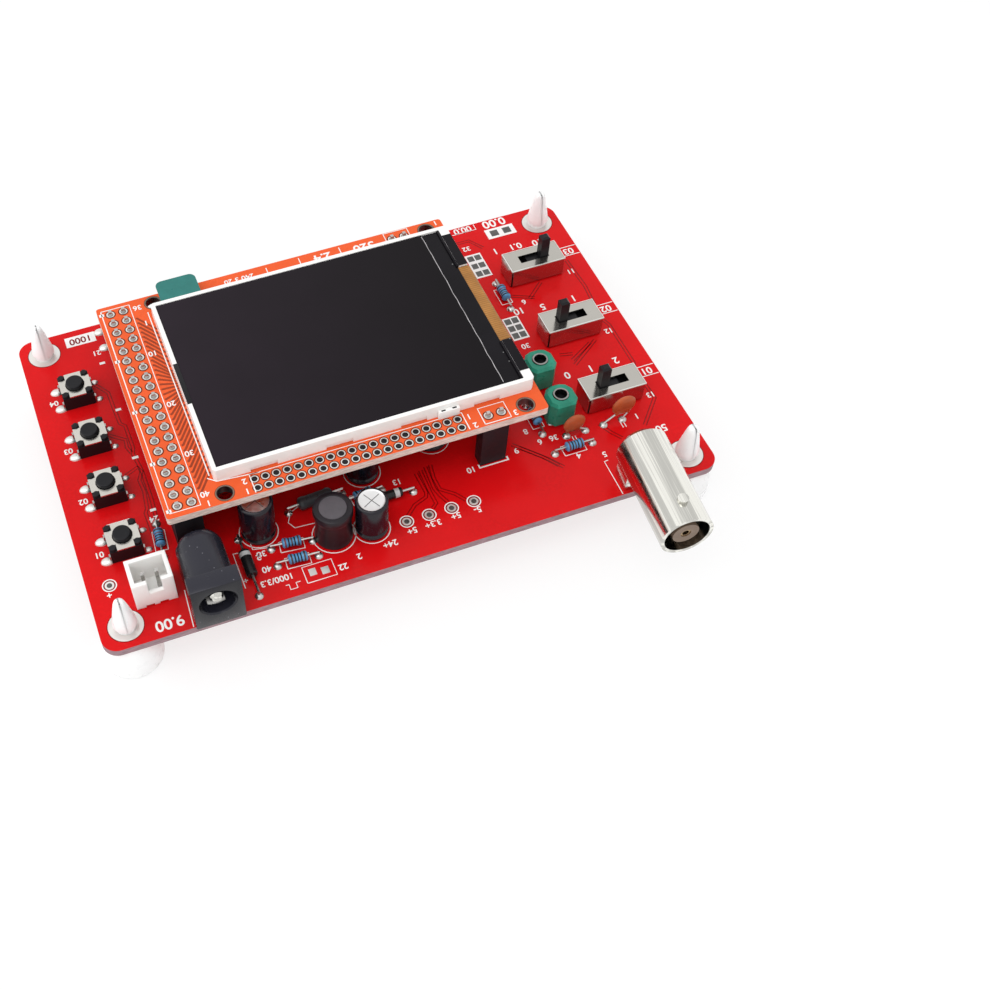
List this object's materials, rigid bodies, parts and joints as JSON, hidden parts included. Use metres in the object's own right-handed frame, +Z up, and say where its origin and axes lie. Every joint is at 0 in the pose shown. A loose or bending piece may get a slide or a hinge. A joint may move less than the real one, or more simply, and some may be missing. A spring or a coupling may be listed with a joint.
{
  "type": "pocket oscilloscope",
  "caption": "Open-board pocket oscilloscope: a red main board on clear standoffs carries a plugged-in display board, tact and slide switches, trimmers, a BNC socket and a DC jack.",
  "frame": {"origin": "middle of the footprint, on the plane that the four feet stand on", "axes": "+X along the long edge, towards the slide switches and the BNC socket's side; +Y away from the connector edge; +Z up, out of the display"},
  "size_m": [0.1186, 0.093, 0.0252],
  "materials": {
    "red_board": "glossy solder mask",
    "orange_board": "glossy solder mask",
    "clear_nylon": "translucent moulded nylon",
    "black_plastic": "moulded, fine grain",
    "white_plastic": "moulded",
    "display_glass": "polished glass over black",
    "golden_flex": "polyimide film over copper",
    "teal_film": "glossy film",
    "plated_steel": "tin-plated sheet",
    "tinned_metal": "bright tin",
    "nickel": "bright nickel plate",
    "gold": "gold plate",
    "beige_plastic": "moulded",
    "dark_sleeve": "shrunk vinyl",
    "ferrite": "shrunk sleeve over ferrite",
    "grey_enamel": "dipped enamel",
    "ceramic_brown": "dipped resin",
    "blue_enamel": "dipped enamel",
    "teal_plastic": "moulded"
  },
  "bodies": {
    "board_assembly": {"axial_choke": "grey_enamel", "bnc_contact": "gold", "bnc_insulator": "beige_plastic", "bnc_shell": "nickel", "button_bases": "black_plastic", "button_covers": "plated_steel", "button_legs": "tinned_metal", "ceramic_discs": "ceramic_brown", "chips": "black_plastic", "component_leads": "tinned_metal", "crystal": "plated_steel", "diodes": "black_plastic", "display_board": "orange_board", "display_flex": "golden_flex", "display_frame": "white_plastic", "display_lower_glass": "display_glass", "display_tapes": "black_plastic", "display_upper_glass": "display_glass", "drum_inductor": "ferrite", "electrolytic_capacitors": "dark_sleeve", "film_pull_tab": "teal_film", "header_pins": "tinned_metal", "header_plugs": "black_plastic", "header_sockets": "black_plastic", "jack_housing": "black_plastic", "jack_pin": "nickel", "jack_spring": "tinned_metal", "main_board": "red_board", "power_header_housing": "white_plastic", "power_header_pins": "tinned_metal", "regulators": "black_plastic", "resistors": "blue_enamel", "slide_bodies": "black_plastic", "slide_cans": "plated_steel", "standoffs": "clear_nylon", "trimmer_bodies": "teal_plastic"},
    "button_1": {"button_plunger_1": "black_plastic"},
    "button_2": {"button_plunger_2": "black_plastic"},
    "button_3": {"button_plunger_3": "black_plastic"},
    "button_4": {"button_plunger_4": "black_plastic"},
    "button_5": {"button_plunger_5": "black_plastic"},
    "slide_1": {"slide_lever_1": "black_plastic"},
    "slide_2": {"slide_lever_2": "black_plastic"},
    "slide_3": {"slide_lever_3": "black_plastic"},
    "trimmer_1": {"trimmer_rotor_1": "plated_steel"},
    "trimmer_2": {"trimmer_rotor_2": "plated_steel"}
  },
  "joints": [
    {"name": "button_1_press", "type": "slide", "parent": "board_assembly", "child": "button_1", "axis": [0, 0, -1], "range_m": [0, 0.00025], "stiffness_N_per_m": 300},
    {"name": "button_2_press", "type": "slide", "parent": "board_assembly", "child": "button_2", "axis": [0, 0, -1], "range_m": [0, 0.00025], "stiffness_N_per_m": 300},
    {"name": "button_3_press", "type": "slide", "parent": "board_assembly", "child": "button_3", "axis": [0, 0, -1], "range_m": [0, 0.00025], "stiffness_N_per_m": 300},
    {"name": "button_4_press", "type": "slide", "parent": "board_assembly", "child": "button_4", "axis": [0, 0, -1], "range_m": [0, 0.00025], "stiffness_N_per_m": 300},
    {"name": "button_5_press", "type": "slide", "parent": "board_assembly", "child": "button_5", "axis": [0, 0, -1], "range_m": [0, 0.00025], "stiffness_N_per_m": 300},
    {"name": "slide_1_throw", "type": "slide", "parent": "board_assembly", "child": "slide_1", "axis": [1, 0, 0], "range_m": [-0.004, 0]},
    {"name": "slide_2_throw", "type": "slide", "parent": "board_assembly", "child": "slide_2", "axis": [1, 0, 0], "range_m": [0, 0.004]},
    {"name": "slide_3_throw", "type": "slide", "parent": "board_assembly", "child": "slide_3", "axis": [1, 0, 0], "range_m": [0, 0.004]},
    {"name": "trimmer_1_turn", "type": "hinge", "parent": "board_assembly", "child": "trimmer_1", "pos_m": [0.0354, 0.00019, 0.0156], "axis": [0, 0, 1], "continuous": true},
    {"name": "trimmer_2_turn", "type": "hinge", "parent": "board_assembly", "child": "trimmer_2", "pos_m": [0.0354, -0.00916, 0.0156], "axis": [0, 0, 1], "continuous": true}
  ]
}
